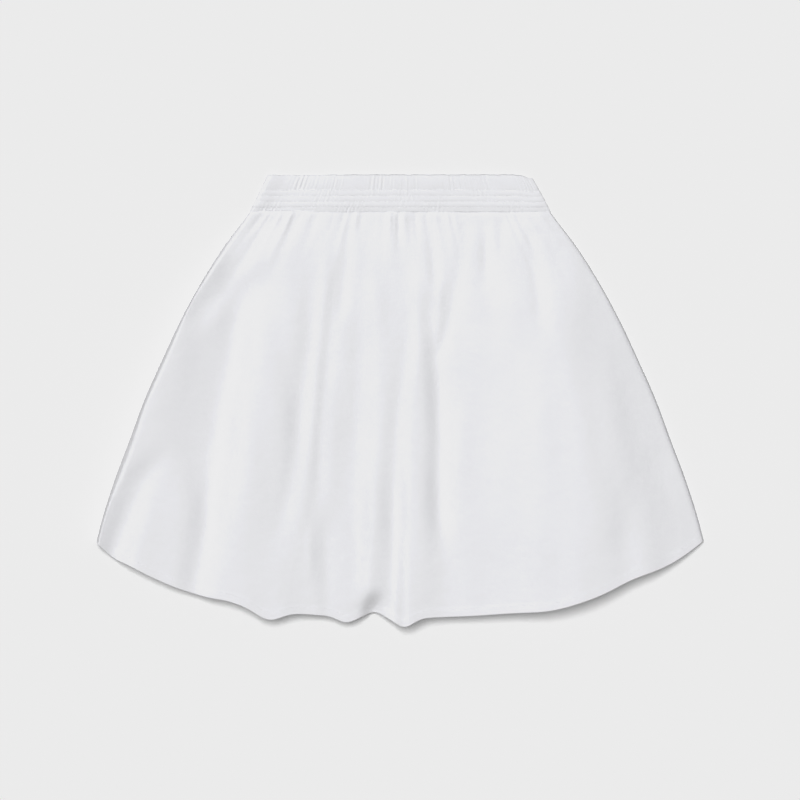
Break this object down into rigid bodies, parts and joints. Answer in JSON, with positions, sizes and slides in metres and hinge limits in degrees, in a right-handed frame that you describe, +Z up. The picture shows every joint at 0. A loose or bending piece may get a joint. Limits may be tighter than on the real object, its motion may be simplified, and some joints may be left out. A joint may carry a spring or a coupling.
{
  "type": "flared skirt",
  "caption": "Knee-length flared skirt laid flat, with a gathered elasticated waistband stitched in rows and soft folds fanning out to a curved hem",
  "frame": {"origin": "centre of the bounding box, on the surface the skirt lies on", "axes": "+X across the skirt to the right as seen from above, +Y from the hem to the waistband, +Z up from the surface"},
  "size_m": [0.7904, 0.5866, 0.03],
  "materials": {
    "front_cloth": "matte",
    "back_cloth": "matte",
    "front_band_cloth": "matte",
    "back_band_cloth": "matte"
  },
  "bodies": {
    "root": {"front_panel": "front_cloth", "back_panel": "back_cloth", "waistband_front": "front_band_cloth", "waistband_back": "back_band_cloth"}
  },
  "joints": []
}
